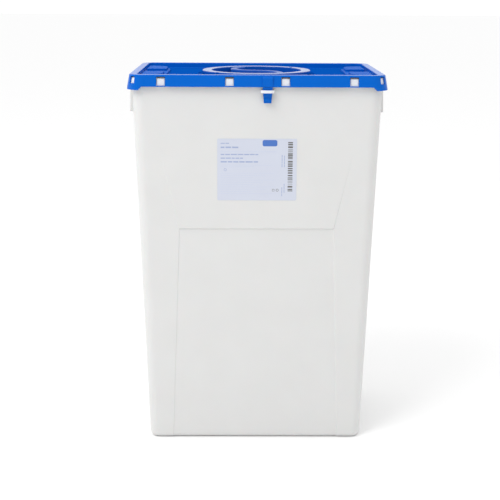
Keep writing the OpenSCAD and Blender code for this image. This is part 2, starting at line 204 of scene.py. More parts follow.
def revolve(profile: np.ndarray, angles: np.ndarray, closed: bool = True,
            radius_rule: Callable[[np.ndarray, np.ndarray], np.ndarray] | None = None) -> Surface:
    """Carries a (radius, height) profile once round the Z axis.

    Args:
        profile: Points (radius, height), counter-clockwise with the radius to the right.
        angles: Angles of the columns, in radians, without the closing one.
        closed: True if the profile is a loop, False if it runs from axis to axis and is capped there.
        radius_rule: Changes the radius of each (radius, angle) pair, for a notch.

    Returns:
        The closed surface.
    """
    r = np.repeat(profile[:, :1], len(angles), 1)
    a = np.repeat(angles[None, :], len(profile), 0)
    r = radius_rule(r, a) if radius_rule else r
    grid = np.stack([r * np.cos(a), r * np.sin(a), np.repeat(profile[:, 1:], len(angles), 1)], -1)
    return sheet(grid, wrap_rows=closed, caps=not closed)


def arc_bar(r0: float, r1: float, z0: float, z1: float, a0: float, a1: float, soft: float = 0.5) -> Surface:
    """A bar bent round the Z axis between two radii, two heights and two angles in degrees.

    Args:
        r0, r1: Inner and outer radius.
        z0, z1: Lower and upper height.
        a0, a1: First and last angle, in degrees.
        soft: Rounding of its long edges.

    Returns:
        The closed surface.
    """
    ring = rounded_polygon(box(r0, r1, z0, z1), [soft] * 4, 2)
    a = np.radians(np.linspace(a1, a0, max(3, int(abs(a1 - a0) / 2) + 2)))[:, None]
    grid = np.stack([ring[:, 0] * np.cos(a), ring[:, 0] * np.sin(a), ring[:, 1] + 0 * a], -1)
    return sheet(grid, caps=True)


def sweep(path: np.ndarray, outline: np.ndarray) -> Surface:
    """Carries an outline along a level path; its first axis points left of the way and its second up.

    Args:
        path: Points (n, 3) at one height.
        outline: Points (m, 2), counter-clockwise.

    Returns:
        The closed surface with flat ends.
    """
    way = np.gradient(path, axis=0)
    way /= np.linalg.norm(way, axis=1)[:, None]
    left = np.stack([-way[:, 1], way[:, 0], 0 * way[:, 0]], -1)
    grid = path[:, None] + left[:, None] * outline[None, :, :1] + np.array([0, 0, 1.0]) * outline[None, :, 1:]
    return sheet(grid, caps=True)


def across(profile: np.ndarray, half_width: float, middle: float = 0.0) -> Surface:
    """A bar along X whose (outwards, up) profile faces the front, outwards being -Y.

    Args:
        profile: Points (outwards, up), counter-clockwise.
        half_width: Half of the bar's length.
        middle: X of its middle.

    Returns:
        The closed surface.
    """
    path = np.array([[middle + half_width, 0, 0], [middle - half_width, 0, 0]], float)
    return sweep(path, profile)


def rings(hw: np.ndarray, hd: np.ndarray, r: np.ndarray, xs: np.ndarray, ys: np.ndarray,
          turns: np.ndarray) -> np.ndarray:
    """Rounded rectangles, one a row, with the same columns in each.

    A ring runs counter-clockwise: right side, corner, rear side, corner, left side, corner, front side,
    corner. The corner arcs sit at the half sizes less the radius.

    Args:
        hw, hd, r: Half width, half depth and corner radius of each row, as (rows, 1).
        xs: X of the columns on the front and rear sides, rising, as (rows, nx).
        ys: Y of the columns on the two sides, rising, as (rows, ny).
        turns: Angles of the columns in a corner from 0 to 90 degrees, in radians.

    Returns:
        Points (rows, columns, 2).
    """
    rows = len(hw)
    c, s = np.cos(turns)[None, :], np.sin(turns)[None, :]
    xs, ys = np.broadcast_to(xs, (rows, np.shape(xs)[-1])), np.broadcast_to(ys, (rows, np.shape(ys)[-1]))
    one_x, one_y = np.ones_like(xs), np.ones_like(ys)
    parts = [
        (hw * one_y, ys), (hw - r + r * c, hd - r + r * s),
        (xs[:, ::-1], hd * one_x), (-hw + r - r * s, hd - r + r * c),
        (-hw * one_y, ys[:, ::-1]), (-hw + r - r * c, -hd + r - r * s),
        (xs, -hd * one_x), (hw - r + r * s, -hd + r - r * c),
    ]
    return np.concatenate([np.stack(np.broadcast_arrays(x, y), -1) for x, y in parts], 1)


def plateau(outline: Callable[[float], np.ndarray], z0: float, z1: float, soft: float) -> Surface:
    """A flat-topped raised area whose upper edge is a quarter round.

    Args:
        outline: Gives the outline (n, 2) at an inset.
        z0, z1: Lower and upper height.
        soft: Radius of the upper edge.

    Returns:
        The closed surface.
    """
    q = quarter(4)
    levels = [(z0, 0.0)] + list(zip(z1 - soft + soft * np.sin(q), soft * (1 - np.cos(q))))
    grid = np.stack([at_height(outline(inset), z) for z, inset in levels])
    return sheet(grid, caps=True)


def smooth_step(x: np.ndarray) -> np.ndarray:
    """0 below 0, 1 above 1, and a cubic with level ends between them."""
    t = np.clip(x, 0, 1)
    return t * t * (3 - 2 * t)


# ---- Finishes ----
def linear(hex_colour: str) -> tuple[float, float, float, float]:
    """Turns an sRGB hex colour such as #1A2B3C to linear values.

    Args:
        hex_colour: The colour, with its #.

    Returns:
        Linear red, green, blue and an alpha of 1.
    """
    c = np.array([int(hex_colour[k : k + 2], 16) for k in (1, 3, 5)]) / 255
    c = np.where(c <= 0.04045, c / 12.92, ((c + 0.055) / 1.055) ** 2.4)
    return (float(c[0]), float(c[1]), float(c[2]), 1.0)


def add_node(tree: bpy.types.NodeTree, kind: str, settings: dict[str, Any] | None = None,
             inputs: dict[Any, Any] | None = None) -> bpy.types.Node:
    """Adds a node, sets it up and links it.

    Args:
        tree: The node tree.
        kind: Blender's name of the node type.
        settings: Its properties.
        inputs: Values for its sockets by name or number; an output socket is linked instead.

    Returns:
        The node.
    """
    made = tree.nodes.new(kind)
    for name, value in (settings or {}).items():
        setattr(made, name, value)
    for key, value in (inputs or {}).items():
        if isinstance(value, bpy.types.NodeSocket):
            tree.links.new(value, made.inputs[key])
        else:
            made.inputs[key].default_value = value
    return made


@dataclass(frozen=True)
class MouldedPlastic:
    """A moulded plastic skin: two close shades, a fine tool texture and long, faint flow waves.

    The roughness is a middle and a spread. The grain and the waves are a length and a depth each.
    """

    name: str
    shades: tuple[str, str]
    roughness: tuple[float, float]
    specular: float
    grain_mm: tuple[float, float]
    wave_mm: tuple[float, float]
    ior: float = 1.49
    scatter: float = 0.0

    def material(self) -> bpy.types.Material:
        """Builds the material.

        Returns:
            The material, whose patterns read Object coordinates.
        """
        made = bpy.data.materials.new(self.name)
        made.use_nodes = True
        tree = made.node_tree
        tree.nodes.clear()
        middle, spread = self.roughness
        (grain_length, grain_depth), (wave_length, wave_depth) = self.grain_mm, self.wave_mm
        place = add_node(tree, "ShaderNodeTexCoord").outputs["Object"]
        flow = add_node(tree, "ShaderNodeTexNoise", inputs={
            "Vector": place, "Scale": 1 / (wave_length * MM), "Detail": 3.0, "Roughness": 0.5})
        grain = add_node(tree, "ShaderNodeTexNoise", inputs={
            "Vector": place, "Scale": 1 / (grain_length * MM), "Detail": 2.0, "Roughness": 0.6})
        colour = add_node(tree, "ShaderNodeMix", {"data_type": "RGBA"}, {
            "Factor": flow.outputs["Fac"], 6: linear(self.shades[0]), 7: linear(self.shades[1])})
        rough = add_node(tree, "ShaderNodeMapRange", inputs={
            "Value": grain.outputs["Fac"], "From Min": 0.3, "From Max": 0.7,
            "To Min": middle - spread, "To Max": middle + spread})
        waves = add_node(tree, "ShaderNodeBump", inputs={
            "Height": flow.outputs["Fac"], "Distance": wave_depth * MM, "Strength": 1.0})
        skin = add_node(tree, "ShaderNodeBump", inputs={
            "Height": grain.outputs["Fac"], "Distance": grain_depth * MM, "Strength": 1.0,
            "Normal": waves.outputs["Normal"]})
        shader = add_node(tree, "ShaderNodeBsdfPrincipled", inputs={
            "Base Color": colour.outputs[2], "Roughness": rough.outputs["Result"], "IOR": self.ior,
            "Specular IOR Level": self.specular, "Subsurface Weight": self.scatter,
            "Subsurface Scale": SCATTER_DEPTH_MM * MM, "Normal": skin.outputs["Normal"]})
        add_node(tree, "ShaderNodeOutputMaterial", inputs={"Surface": shader.outputs["BSDF"]})
        return made


# White polypropylene, moulded in a lightly textured tool: a soft, even, slightly waxy surface.
WHITE_PP = MouldedPlastic(
    "white_polypropylene_moulded", ("#DADAD9", "#D5D5D4"), roughness=(0.42, 0.05), specular=0.4,
    grain_mm=(1.6, 0.012), wave_mm=(60, 0.05), scatter=0.04)
# The same polypropylene in the small pieces of the tub, whose tool was polished a little more.
WHITE_PP_DETAIL = MouldedPlastic(
    "white_polypropylene_polished", ("#E4E6EA", "#DEE0E5"), roughness=(0.32, 0.04), specular=0.45,
    grain_mm=(1.2, 0.008), wave_mm=(30, 0.02), scatter=0.04)
# Blue polypropylene from a polished tool: a clear gloss with a slight orange peel.
BLUE_PP_GLOSS = MouldedPlastic(
    "blue_polypropylene_polished", ("#0262C8", "#015CBC"), roughness=(0.2, 0.03), specular=0.1,
    grain_mm=(2.4, 0.006), wave_mm=(45, 0.03))
# The deck was spark-eroded in the tool, so it is duller than the rim; its colour is also set darker than the
# rim's, as painted shade of the recessed deck.
BLUE_PP_DECK_PAINTED_SHADE = MouldedPlastic(
    "blue_polypropylene_textured_painted_shade", ("#0652B0", "#054CA6"), roughness=(0.6, 0.06), specular=0.0,
    grain_mm=(1.2, 0.03), wave_mm=(40, 0.03))
# The stacking steps carry a finer texture, between the rim's gloss and the deck.
BLUE_PP_STEP = MouldedPlastic(
    "blue_polypropylene_fine_textured", ("#045CC0", "#0456B6"), roughness=(0.5, 0.05), specular=0.02,
    grain_mm=(1.4, 0.015), wave_mm=(40, 0.03))
# The cap's flange and dish come from a brightly polished tool.
BLUE_PP_CAP = MouldedPlastic(
    "blue_polypropylene_bright", ("#0A54B4", "#084EA8"), roughness=(0.16, 0.03), specular=0.45,
    grain_mm=(2.4, 0.005), wave_mm=(45, 0.02))
# The web has a light tool texture for grip, so it is a little duller than the dish.
BLUE_PP_WEB = MouldedPlastic(
    "blue_polypropylene_grip_texture", ("#0A54B4", "#084EA8"), roughness=(0.34, 0.04), specular=0.2,
    grain_mm=(1.6, 0.012), wave_mm=(45, 0.02))
# Closed-cell foam: dull, dark grey, with visible fine cells.
GREY_FOAM = MouldedPlastic(
    "grey_closed_cell_foam", ("#5A5D60", "#4C4F52"), roughness=(0.85, 0.08), specular=0.2,
    grain_mm=(0.9, 0.12), wave_mm=(12, 0.05), ior=1.45)
# Coated label film: smooth, faintly satin, a shade cooler than the tub.
LABEL_FILM = MouldedPlastic(
    "coated_label_film", ("#CBD0DD", "#C8CCDA"), roughness=(0.38, 0.03), specular=0.4,
    grain_mm=(2.0, 0.004), wave_mm=(50, 0.01), ior=1.5)


def ink(name: str, shades: tuple[str, str], roughness: float = 0.5) -> MouldedPlastic:
    """A printing ink on the film: flat and a little duller than it."""
    return MouldedPlastic(name, shades, roughness=(roughness, 0.03), specular=0.3, grain_mm=(1.0, 0.001),
                          wave_mm=(20, 0.001), ior=1.5)


INK_PALE = ink("ink_pale_blue_grey", ("#C9CFDF", "#C2C8DA"))
INK_HEADING = ink("ink_blue_grey", ("#A3AFCE", "#9AA7C8"))
INK_BLUE = ink("ink_blue", ("#4F77C0", "#476FB8"), 0.45)
INK_DARK = ink("ink_dark_grey", ("#6E6E6C", "#666664"))


class Finishes:
    """Keeps one Blender material for each finish."""

    def __init__(self) -> None:
        """Starts with no materials."""
        self._made: dict[str, bpy.types.Material] = {}

    def get(self, finish: MouldedPlastic) -> bpy.types.Material:
        """The finish's material, built when it is first asked for."""
        if finish.name not in self._made:
            self._made[finish.name] = finish.material()
        return self._made[finish.name]


FINISHES = Finishes()


def add_object(name: str, data: bpy.types.ID) -> bpy.types.Object:
    """Makes an object from its data and links it to the scene."""
    made = bpy.data.objects.new(name, data)
    bpy.context.scene.collection.objects.link(made)
    return made


def make_piece(name: str, surface: Surface, finishes: Sequence[MouldedPlastic], body: Body,
               stands_for: Sequence[str] = (), wall_mm: float = 0.0, bevel_mm: float = 0.0,
               sharp_degrees: float = 50.0) -> bpy.types.Object:
    """Turns a surface into a dressed Blender object that rides on its body.

    Args:
        name: The piece's name.
        surface: Its surface, in millimetres.
        finishes: Its materials, in the order of the surface's material numbers.
        body: The body it rides on.
        stands_for: CAD nodes that it replaces.
        wall_mm: Thickness that an open surface gets, towards its inside.
        bevel_mm: Rounding of its hard edges.
        sharp_degrees: Edges that turn by more than this stay sharp in the shading.

    Returns:
        The object.
    """
    mesh = bpy.data.meshes.new(name)
    mesh.from_pydata((surface.points * MM).tolist(), [], surface.faces)
    mesh.polygons.foreach_set("material_index", np.asarray(surface.marks, np.int32))
    mesh.update()
    mesh.shade_smooth()
    mesh.set_sharp_from_angle(angle=math.radians(sharp_degrees))
    made = add_object(name, mesh)
    for finish in finishes:
        mesh.materials.append(FINISHES.get(finish))
    if wall_mm:
        solid = made.modifiers.new("wall", "SOLIDIFY")
        solid.thickness, solid.offset, solid.use_even_offset = wall_mm * MM, -1.0, True
    if bevel_mm:
        bevel = made.modifiers.new("soft_edges", "BEVEL")
        bevel.width, bevel.segments, bevel.limit_method = bevel_mm * MM, BEVEL_SEGMENTS, "ANGLE"
        bevel.angle_limit, bevel.use_clamp_overlap = math.radians(BEVEL_DEGREES), True
    normals = made.modifiers.new("even_shading", "WEIGHTED_NORMAL")
    normals.keep_sharp = True
    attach(made, body.value)
    if stands_for:
        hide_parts(*stands_for)
    LOG.info("%s: %d points, %d faces, rides on %s",
             name, len(surface.points), len(surface.faces), body.value)
    return made


# ---- Sizes that several sub-assemblies share ----
@dataclass(frozen=True)
class Envelope:
    """The overall sizes that the tub and its lid are drawn from, in millimetres."""

    height: float = 680.0
    top_hw: float = 223.0
    top_hd: float = 155.0
    flare: float = 5.0
    skirt_full: float = 26.0
    lid_wall: float = 2.5
    rim_gap: float = 1.4
    draft: float = 1.78
    inner_hw: float = 210.0
    inner_hd: float = 142.0
    deck_z: float = 670.0
    window_x: tuple[float, ...] = (-167.0, -48.4, 48.4, 167.0)
    window_y: tuple[float, ...] = (-62.0, 62.0)
    tab_x: float = 17.4
    tab_hw: float = 8.8
    tab_out: float = 159.65
    root: float = 0.6

    def skirt_out(self, z: float | np.ndarray) -> float | np.ndarray:
        """How far the skirt's outside has spread at a height."""
        return self.flare * (self.height - z) / self.skirt_full

    def tub_in(self, z: float | np.ndarray) -> float | np.ndarray:
        """How far the tub's wall has drawn in at a height."""
        return (self.height - z) * math.tan(math.radians(self.draft))

    def tub_hw(self, z: float | np.ndarray) -> float | np.ndarray:
        """Half width of the tub at a height."""
        return self.top_hw - self.lid_wall - self.rim_gap - self.tub_in(z)

    def tub_hd(self, z: float | np.ndarray) -> float | np.ndarray:
        """Half depth of the tub at a height."""
        return self.top_hd - self.lid_wall - self.rim_gap - self.tub_in(z)


ENVELOPE = Envelope()
# Where rows and columns lie across a step of the relief, in shares of the step's width.
STEP_SHARES = np.array([-2, -0.5, -0.25, 0, 0.25, 0.5, 2])


@dataclass
class Tub:
    """The moulded tub with its relief panels, and what is moulded on it."""

    rim_z: float = 675.2
    wall: float = 3.0
    floor: float = 4.0
    corner_r: float = 21.0
    corner_shrink: float = 0.15
    edge_r: float = 10.0
    inner_edge_r: float = 8.0
    panel_depth: float = 1.0
    panel_h: float = 407.0
    panel_top_hw: float = 138.0
    panel_foot_hw: float = 154.0
    field_h: float = 149.0
    field_top_hw: float = 172.0
    step_soft: float = 1.4
    window_w: float = 13.4
    lug_bottom: float = 661.8
    lug_top: float = 673.4
    seat: float = 0.4
    corner_lug_in: float = 19.6
    corner_lug_out: float = 22.1
    corner_lug_low: float = 665.0
    corner_lug_top: float = 674.9
    corner_lug_half_turn: float = 12.3
    corner_lug_soft: float = 0.3
    corner_lug_inset: float = 25.0

    def radius(self, z: np.ndarray) -> np.ndarray:
        """Radius of the upright corners at a height."""
        return self.corner_r * (1 - self.corner_shrink * (ENVELOPE.height - z) / ENVELOPE.height)

    def relief_side(self, z: np.ndarray) -> np.ndarray:
        """Half width of the panel or of the raised field at a height, straight from edge to edge."""
        heights = [0, self.panel_h, self.panel_h + self.field_h]
        return np.interp(z, heights, [self.panel_foot_hw, self.panel_top_hw, self.field_top_hw])

    def relief(self, x: np.ndarray, z: np.ndarray) -> np.ndarray:
        """How far the front stands off its plain wall.

        The panel lies one depth in. The field above starts one depth out and fades evenly to the wall.
        Both meet the wall and each other over a short smooth step.

        Args:
            x: Distance from the middle.
            z: Height.

        Returns:
            Distance outwards.
        """
        inside = smooth_step((self.relief_side(z) - np.abs(x)) / self.step_soft + 0.5)
        above = smooth_step((z - self.panel_h) / self.step_soft + 0.5)
        fade = np.clip(1 - (z - self.panel_h) / self.field_h, 0, 1)
        return inside * self.panel_depth * (above * fade - (1 - above))

    def heights(self) -> np.ndarray:
        """Heights of the outer wall's rows, close together where the relief steps."""
        step = self.panel_h + self.step_soft * STEP_SHARES
        fade_end = self.panel_h + self.field_h + np.array([-6.0, -1.5, 0, 1.5, 6.0])
        return np.concatenate([np.linspace(self.edge_r, self.panel_h - 10, 26), step,
                               np.linspace(self.panel_h + 10, fade_end[0] - 6, 12), fade_end,
                               np.linspace(fade_end[-1] + 10, self.rim_z - 1.5, 8)])

    def columns(self, z: np.ndarray) -> np.ndarray:
        """X of the front's columns at each height: they follow the relief's slanting sides.

        Args:
            z: Heights (rows).

        Returns:
            X positions (rows, columns), rising.
        """
        side = self.relief_side(z)[:, None]
        near = self.step_soft * STEP_SHARES
        half = np.concatenate([side * np.array([0.2, 0.4, 0.6, 0.8]), side + near], 1)
        return np.concatenate([-half[:, ::-1], 0 * side, half], 1)

    def shell(self) -> Surface:
        """The closed shell: floor, rounded foot, drafted wall with relief, rim, inner wall, inner floor.

        Each row is a rounded rectangle. The foot's rows draw in by the edge radius less its cosine share,
        the rim is a half round as wide as the wall, and the inner rows lie one wall further in.
        """
        q = quarter(8)
        foot_z, foot_in = self.edge_r * (1 - np.cos(q)), self.edge_r * (1 - np.sin(q))
        wall_z = self.heights()[1:]
        half_turn = np.linspace(0, math.pi, 9)[1:-1]
        lip = self.wall / 2
        rim_z, rim_in = self.rim_z - lip + lip * np.sin(half_turn), lip * (1 - np.cos(half_turn))
        inner_z = np.linspace(self.rim_z - lip, self.floor + self.inner_edge_r, 12)
        inner_foot_z = self.floor + self.inner_edge_r * (1 - np.sin(q[1:]))
        inner_foot_in = self.wall + self.inner_edge_r * (1 - np.cos(q[1:]))
        z = np.concatenate([foot_z, wall_z, rim_z, inner_z, inner_foot_z])
        inset = np.concatenate([foot_in, 0 * wall_z, rim_in, 0 * inner_z + self.wall, inner_foot_in])
        outer = np.arange(len(z)) < len(foot_z) + len(wall_z)
        size_z = np.maximum(z, 0)
        hw, hd = ENVELOPE.tub_hw(size_z) - inset, ENVELOPE.tub_hd(size_z) - inset
        r = np.maximum(self.radius(size_z) - inset, 2.0)
        xs, ys = self.columns(size_z), np.linspace(-0.9, 0.9, 7)[None, :] * (hd - r)[:, None]
        xs = np.clip(xs, -(hw - r)[:, None] + 0.5, (hw - r)[:, None] - 0.5)
        turns = quarter(12)
        flat = rings(hw[:, None], hd[:, None], r[:, None], xs, ys, turns)
        grid = lifted(flat, z)
        n, m, k = len(ys[0]), len(turns), xs.shape[1]
        rear, front = slice(n + m, n + m + k), slice(2 * n + 3 * m + k, 2 * n + 3 * m + 2 * k)
        for part, sign in ((rear, 1), (front, -1)):
            lift = self.relief(grid[:, part, 0], grid[:, part, 2]) * outer[:, None]
            grid[:, part, 1] += sign * lift
        return sheet(grid, caps=True)

    def wall_lug(self, top_half: float) -> Surface:
        """One wedge lug facing the front, on a wall whose half size at the lid's top level is given."""
        face = top_half + ENVELOPE.rim_gap - self.seat
        low, high = self.lug_bottom, self.lug_top
        root = top_half - ENVELOPE.root
        profile = [(root - ENVELOPE.tub_in(low), low), (face + ENVELOPE.skirt_out(low), low),
                   (face + ENVELOPE.skirt_out(high), high), (root - ENVELOPE.tub_in(high), high)]
        return across(np.array(profile), self.window_w / 2)

    def corner_lug(self) -> Surface:
        """One curved lug round the Z axis, whose outer face leans out with the skirt before it."""
        half_turn = self.corner_lug_half_turn
        made = arc_bar(self.corner_lug_in, self.corner_lug_out, self.corner_lug_low, self.corner_lug_top,
                       -half_turn, half_turn, self.corner_lug_soft)
        out = np.linalg.norm(made.points[:, :2], axis=1)
        share = np.clip((out - self.corner_lug_in) / (self.corner_lug_out - self.corner_lug_in), 0, 1)
        made.points[:, :2] *= (1 + share * ENVELOPE.skirt_out(made.points[:, 2]) / out)[:, None]
        return made

    def lugs(self) -> Surface:
        """All lugs behind the lid's windows, on the four walls and round the four corners."""
        front = self.wall_lug(ENVELOPE.tub_hd(ENVELOPE.height))
        side = self.wall_lug(ENVELOPE.tub_hw(ENVELOPE.height))
        made = [front.moved((x, 0, 0)).turned(t) for t in (0, 180) for x in ENVELOPE.window_x]
        made += [side.moved((y, 0, 0)).turned(t) for t in (90, -90) for y in ENVELOPE.window_y]
        corner = self.corner_lug()
        far_x, far_y = ENVELOPE.top_hw - self.corner_lug_inset, ENVELOPE.top_hd - self.corner_lug_inset
        for sx, sy in ((1, 1), (1, -1), (-1, 1), (-1, -1)):
            middle = math.degrees(math.atan2(sy, sx))
            made.append(corner.turned(middle).moved((sx * far_x, sy * far_y, 0)))
        return Surface.join(made)

    def build(self) -> None:
        """Makes the tub and its lugs."""
        make_piece("tub_shell", self.shell(), [WHITE_PP], Body.CONTAINER, ["tub"])
        make_piece("snap_wedges", self.lugs(), [WHITE_PP_DETAIL], Body.CONTAINER,
                   ["snap_lugs"], bevel_mm=0.5)


@dataclass
class LockStrap:
    """The bowed band on the tub that the lock tab passes behind."""

    post_x: float = 10.7
    z0: float = 649.7
    height: float = 5.0
    thickness: float = 2.4
    corner_y: float = 161.2
    bow_y: float = 164.0
    bow_half: float = 5.6
    bow_drop: float = 0.7
    root_y: float = 149.0
    soft: float = 0.9

    def build(self) -> None:
        """Carries a rounded band section along two posts and the bow between them."""
        corner = [(-self.post_x, -self.root_y), (-self.post_x, -self.corner_y)]
        side_y = -self.bow_y + self.bow_drop
        bow = [(-self.bow_half, side_y), (0.0, -self.bow_y), (self.bow_half, side_y)]
        line = np.array(corner + bow + [(-x, y) for x, y in corner[::-1]])
        flat = rounded_polygon(line, [0, 2.2, 12, 30, 12, 2.2, 0], 6, closed=False)
        path = at_height(flat + [ENVELOPE.tab_x, 0], self.z0 + self.height / 2)
        a, b = self.thickness / 2, self.height / 2
        section = rounded_polygon(box(-a, a, -b, b), [self.soft] * 4, 4)
        make_piece("tab_strap", sweep(path, section), [WHITE_PP_DETAIL], Body.CONTAINER,
                   ["lock_strap"], sharp_degrees=70)


@dataclass
class SideGrip:
    """One hollow hand grip below the lid, open at its foot."""

    side: int
    half_len: float = 70.0
    top: float = 651.5
    bottom: float = 607.5
    out_bottom: float = 229.85
    out_top: float = 228.35
    edge: float = 3.0
    wall: float = 2.5

    def build(self) -> None:
        """A skin over the grip's outline: its profile runs up the face and over a round edge to the wall.

        At both ends the skin turns in to the wall over a round of the same radius, and its last column
        is hidden in the wall.
        """
        q, hidden = quarter(5), 1e3
        face_z = np.linspace(self.bottom, self.top - self.edge, 5)
        z = np.concatenate([face_z, self.top - self.edge + self.edge * np.sin(q[1:]), [self.top]])
        slope = np.interp(face_z, [self.bottom, self.top], [self.out_bottom, self.out_top])
        root = ENVELOPE.tub_hw(z) - ENVELOPE.root
        out = np.concatenate([slope, slope[-1] - self.edge * (1 - np.cos(q[1:])), root[-1:]])
        turn = self.edge * (1 - np.cos(q))
        ends = self.half_len - self.edge * (1 - np.sin(q))
        y = np.concatenate([[-self.half_len], -ends[::-1], [0.0], ends, [self.half_len]])
        drop = np.concatenate([[hidden], turn[::-1], [0.0], turn, [hidden]])
        reach = np.maximum(out[:, None] - drop[None, :], root[:, None])
        grid = np.stack([np.broadcast_to(y[None, :], reach.shape), -reach,
                         np.broadcast_to(z[:, None], reach.shape)], -1)
        hand = "right" if self.side > 0 else "left"
        make_piece(f"hand_grip_{hand}", sheet(grid, wrap_columns=False).turned(90 * self.side), [WHITE_PP],
                   Body.CONTAINER, [f"side_grip_{hand}"], wall_mm=self.wall)


@dataclass
class Lid:
    """The snap-fit lid in one skin: windowed skirt, rounded rim, recess wall, deck and round bead."""

    corner_r: float = 25.0
    corner_low: float = 654.0
    drop: float = 6.0
    ramp_x: float = 201.0
    ramp_y: float = 133.0
    edge_r: float = 2.0
    inner_edge_r: float = 1.3
    inner_r: float = 12.0
    window_low: float = 661.8
    corner_window_low: float = 665.0
    window_top: float = 677.0
    window_hw: float = 7.5
    corner_window_half_turn: float = 11.9
    bead_r: float = 109.5
    bead_w: float = 1.5
    bead_h: float = 1.5
    collar_r: float = 97.2
    strip_in: float = 155.2
    strip_low: float = 660.0
    strip_edge: float = 675.2
    strip_top: float = 678.2
    seal_hw: float = 213.2
    seal_hd: float = 145.2
    seal_r: float = 15.2
    seal_w: float = 6.6
    seal_low: float = 675.5
    seal_top: float = 677.5
    seal_soft: float = 0.6

    def skin(self) -> Surface:
        """The outer skin as one grid.

        Rows run up the skirt, over a quarter round, across the rim, down the recess wall, across the deck,
        over the bead and to the port. On the deck a row slides from the recess's rounded rectangle to a
        circle along rays from the middle. The lowest row drops at the corners over a 45 degree ramp.
        """
        edges = np.array([w + s * self.window_hw for w in ENVELOPE.window_x for s in (-1, 1)])
        xs = np.sort(np.concatenate([edges, [-185.0, -110.0, 0.0, 110.0, 185.0]]))
        side_edges = np.array([w + s * self.window_hw for w in ENVELOPE.window_y for s in (-1, 1)])
        ys = np.sort(np.concatenate([side_edges, [-100.0, 0.0, 100.0]]))
        near = np.radians(45 - self.corner_window_half_turn)
        far = np.radians(45 + self.corner_window_half_turn)
        turns = np.concatenate([np.linspace(0, near, 9), np.linspace(near, far, 6)[1:-1],
                                np.linspace(far, math.pi / 2, 9)])
        q = quarter(5)
        skirt_z = np.array([self.corner_low, self.window_low, self.corner_window_low, 671.0, self.window_top,
                            ENVELOPE.height - self.edge_r])
        round_z = ENVELOPE.height - self.edge_r * (1 - np.sin(q[1:]))
        skirt_hw = ENVELOPE.top_hw + ENVELOPE.skirt_out(skirt_z)
        round_hw = skirt_hw[-1] - self.edge_r * (1 - np.cos(q[1:]))
        rim_in = ENVELOPE.top_hw - ENVELOPE.inner_hw
        inner_round = self.inner_edge_r * (1 - np.sin(q))
        wall_hw = np.concatenate([[ENVELOPE.top_hw - 4], ENVELOPE.inner_hw + inner_round, [ENVELOPE.inner_hw],
                                  ENVELOPE.inner_hw - self.inner_edge_r * (1 - np.cos(q))])
        wall_z = np.concatenate([
            [ENVELOPE.height], ENVELOPE.height - self.inner_edge_r * (1 - np.cos(q)),
            [ENVELOPE.deck_z + 4], ENVELOPE.deck_z + self.inner_edge_r * (1 - np.sin(q))])
        hw = np.concatenate([skirt_hw, round_hw, wall_hw])
        z = np.concatenate([skirt_z, round_z, wall_z])
        spread = hw - ENVELOPE.top_hw
        hd = ENVELOPE.top_hd + spread
        r = np.where(spread > -rim_in, self.corner_r + spread, self.inner_r + spread + rim_in)
        flat = rings(hw[:, None], hd[:, None], np.maximum(r, 3)[:, None], xs[None, :], ys[None, :], turns)
        grid = lifted(flat, z)
        low = grid[0]
        lift = np.max(np.array([self.ramp_x, self.ramp_y]) + self.drop - np.abs(low[:, :2]), 1)
        low[:, 2] += np.clip(lift, 0, self.drop)
        slide = ENVELOPE.skirt_out(low[:, 2]) - ENVELOPE.skirt_out(self.corner_low)
        low[:, :2] += self.wall_directions(low[:, :2]) * slide[:, None]
        last = grid[-1, :, :2]
        ray = last / np.linalg.norm(last, axis=1)[:, None]
        outer_bead = (self.bead_r + self.bead_w + 2) * ray
        deck = [last * (1 - t) + outer_bead * t for t in (0.12, 0.5, 1.0)]
        deck_z = [ENVELOPE.deck_z] * 3
        bump = np.linspace(0, math.pi, 9)
        deck += [(self.bead_r + self.bead_w * math.cos(b)) * ray for b in bump]
        deck_z += [ENVELOPE.deck_z + self.bead_h * math.sin(b) for b in bump]
        deck += [self.collar_r * ray]
        deck_z += [ENVELOPE.deck_z]
        grid = np.concatenate([grid, lifted(np.stack(deck), np.array(deck_z))])
        return sheet(grid, keep=self.solid_cells(grid), marks=self.finish_numbers(grid, len(z)))

    def wall_directions(self, flat: np.ndarray) -> np.ndarray:
        """Outward direction of the skirt at points of its lowest row.

        Args:
            flat: Points (n, 2).

        Returns:
            Unit directions (n, 2).
        """
        middle = np.array([ENVELOPE.top_hw - self.corner_r, ENVELOPE.top_hd - self.corner_r])
        away = np.maximum(np.abs(flat) - middle, 0) * np.sign(flat)
        return away / np.linalg.norm(away, axis=1)[:, None]

    def solid_cells(self, grid: np.ndarray) -> np.ndarray:
        """Which cells of the skin are there: all but those in a window.

        Args:
            grid: The skin's points.

        Returns:
            Truths (rows, columns).
        """
        middle = (grid[:-1] + np.roll(grid, -1, 1)[:-1] + grid[1:] + np.roll(grid, -1, 1)[1:]) / 4
        x, y, z = middle[..., 0], middle[..., 1], middle[..., 2]
        on_skirt = (np.arange(len(middle)) < 5)[:, None]
        front = np.any([np.abs(x - w) < self.window_hw for w in ENVELOPE.window_x], 0)
        front &= np.abs(y) > ENVELOPE.top_hd - 1
        side = np.any([np.abs(y - w) < self.window_hw for w in ENVELOPE.window_y], 0)
        side &= np.abs(x) > ENVELOPE.top_hw - 1
        straight = (front | side) & (z > self.window_low)
        turn = np.degrees(np.arctan2(np.abs(y) - ENVELOPE.top_hd + self.corner_r,
                                     np.abs(x) - ENVELOPE.top_hw + self.corner_r))
        out = (np.abs(x) > ENVELOPE.top_hw - self.corner_r) & (np.abs(y) > ENVELOPE.top_hd - self.corner_r)
        corner = out & (np.abs(turn - 45) < self.corner_window_half_turn) & (z > self.corner_window_low)
        return ~(on_skirt & (z < self.window_top) & (straight | corner))

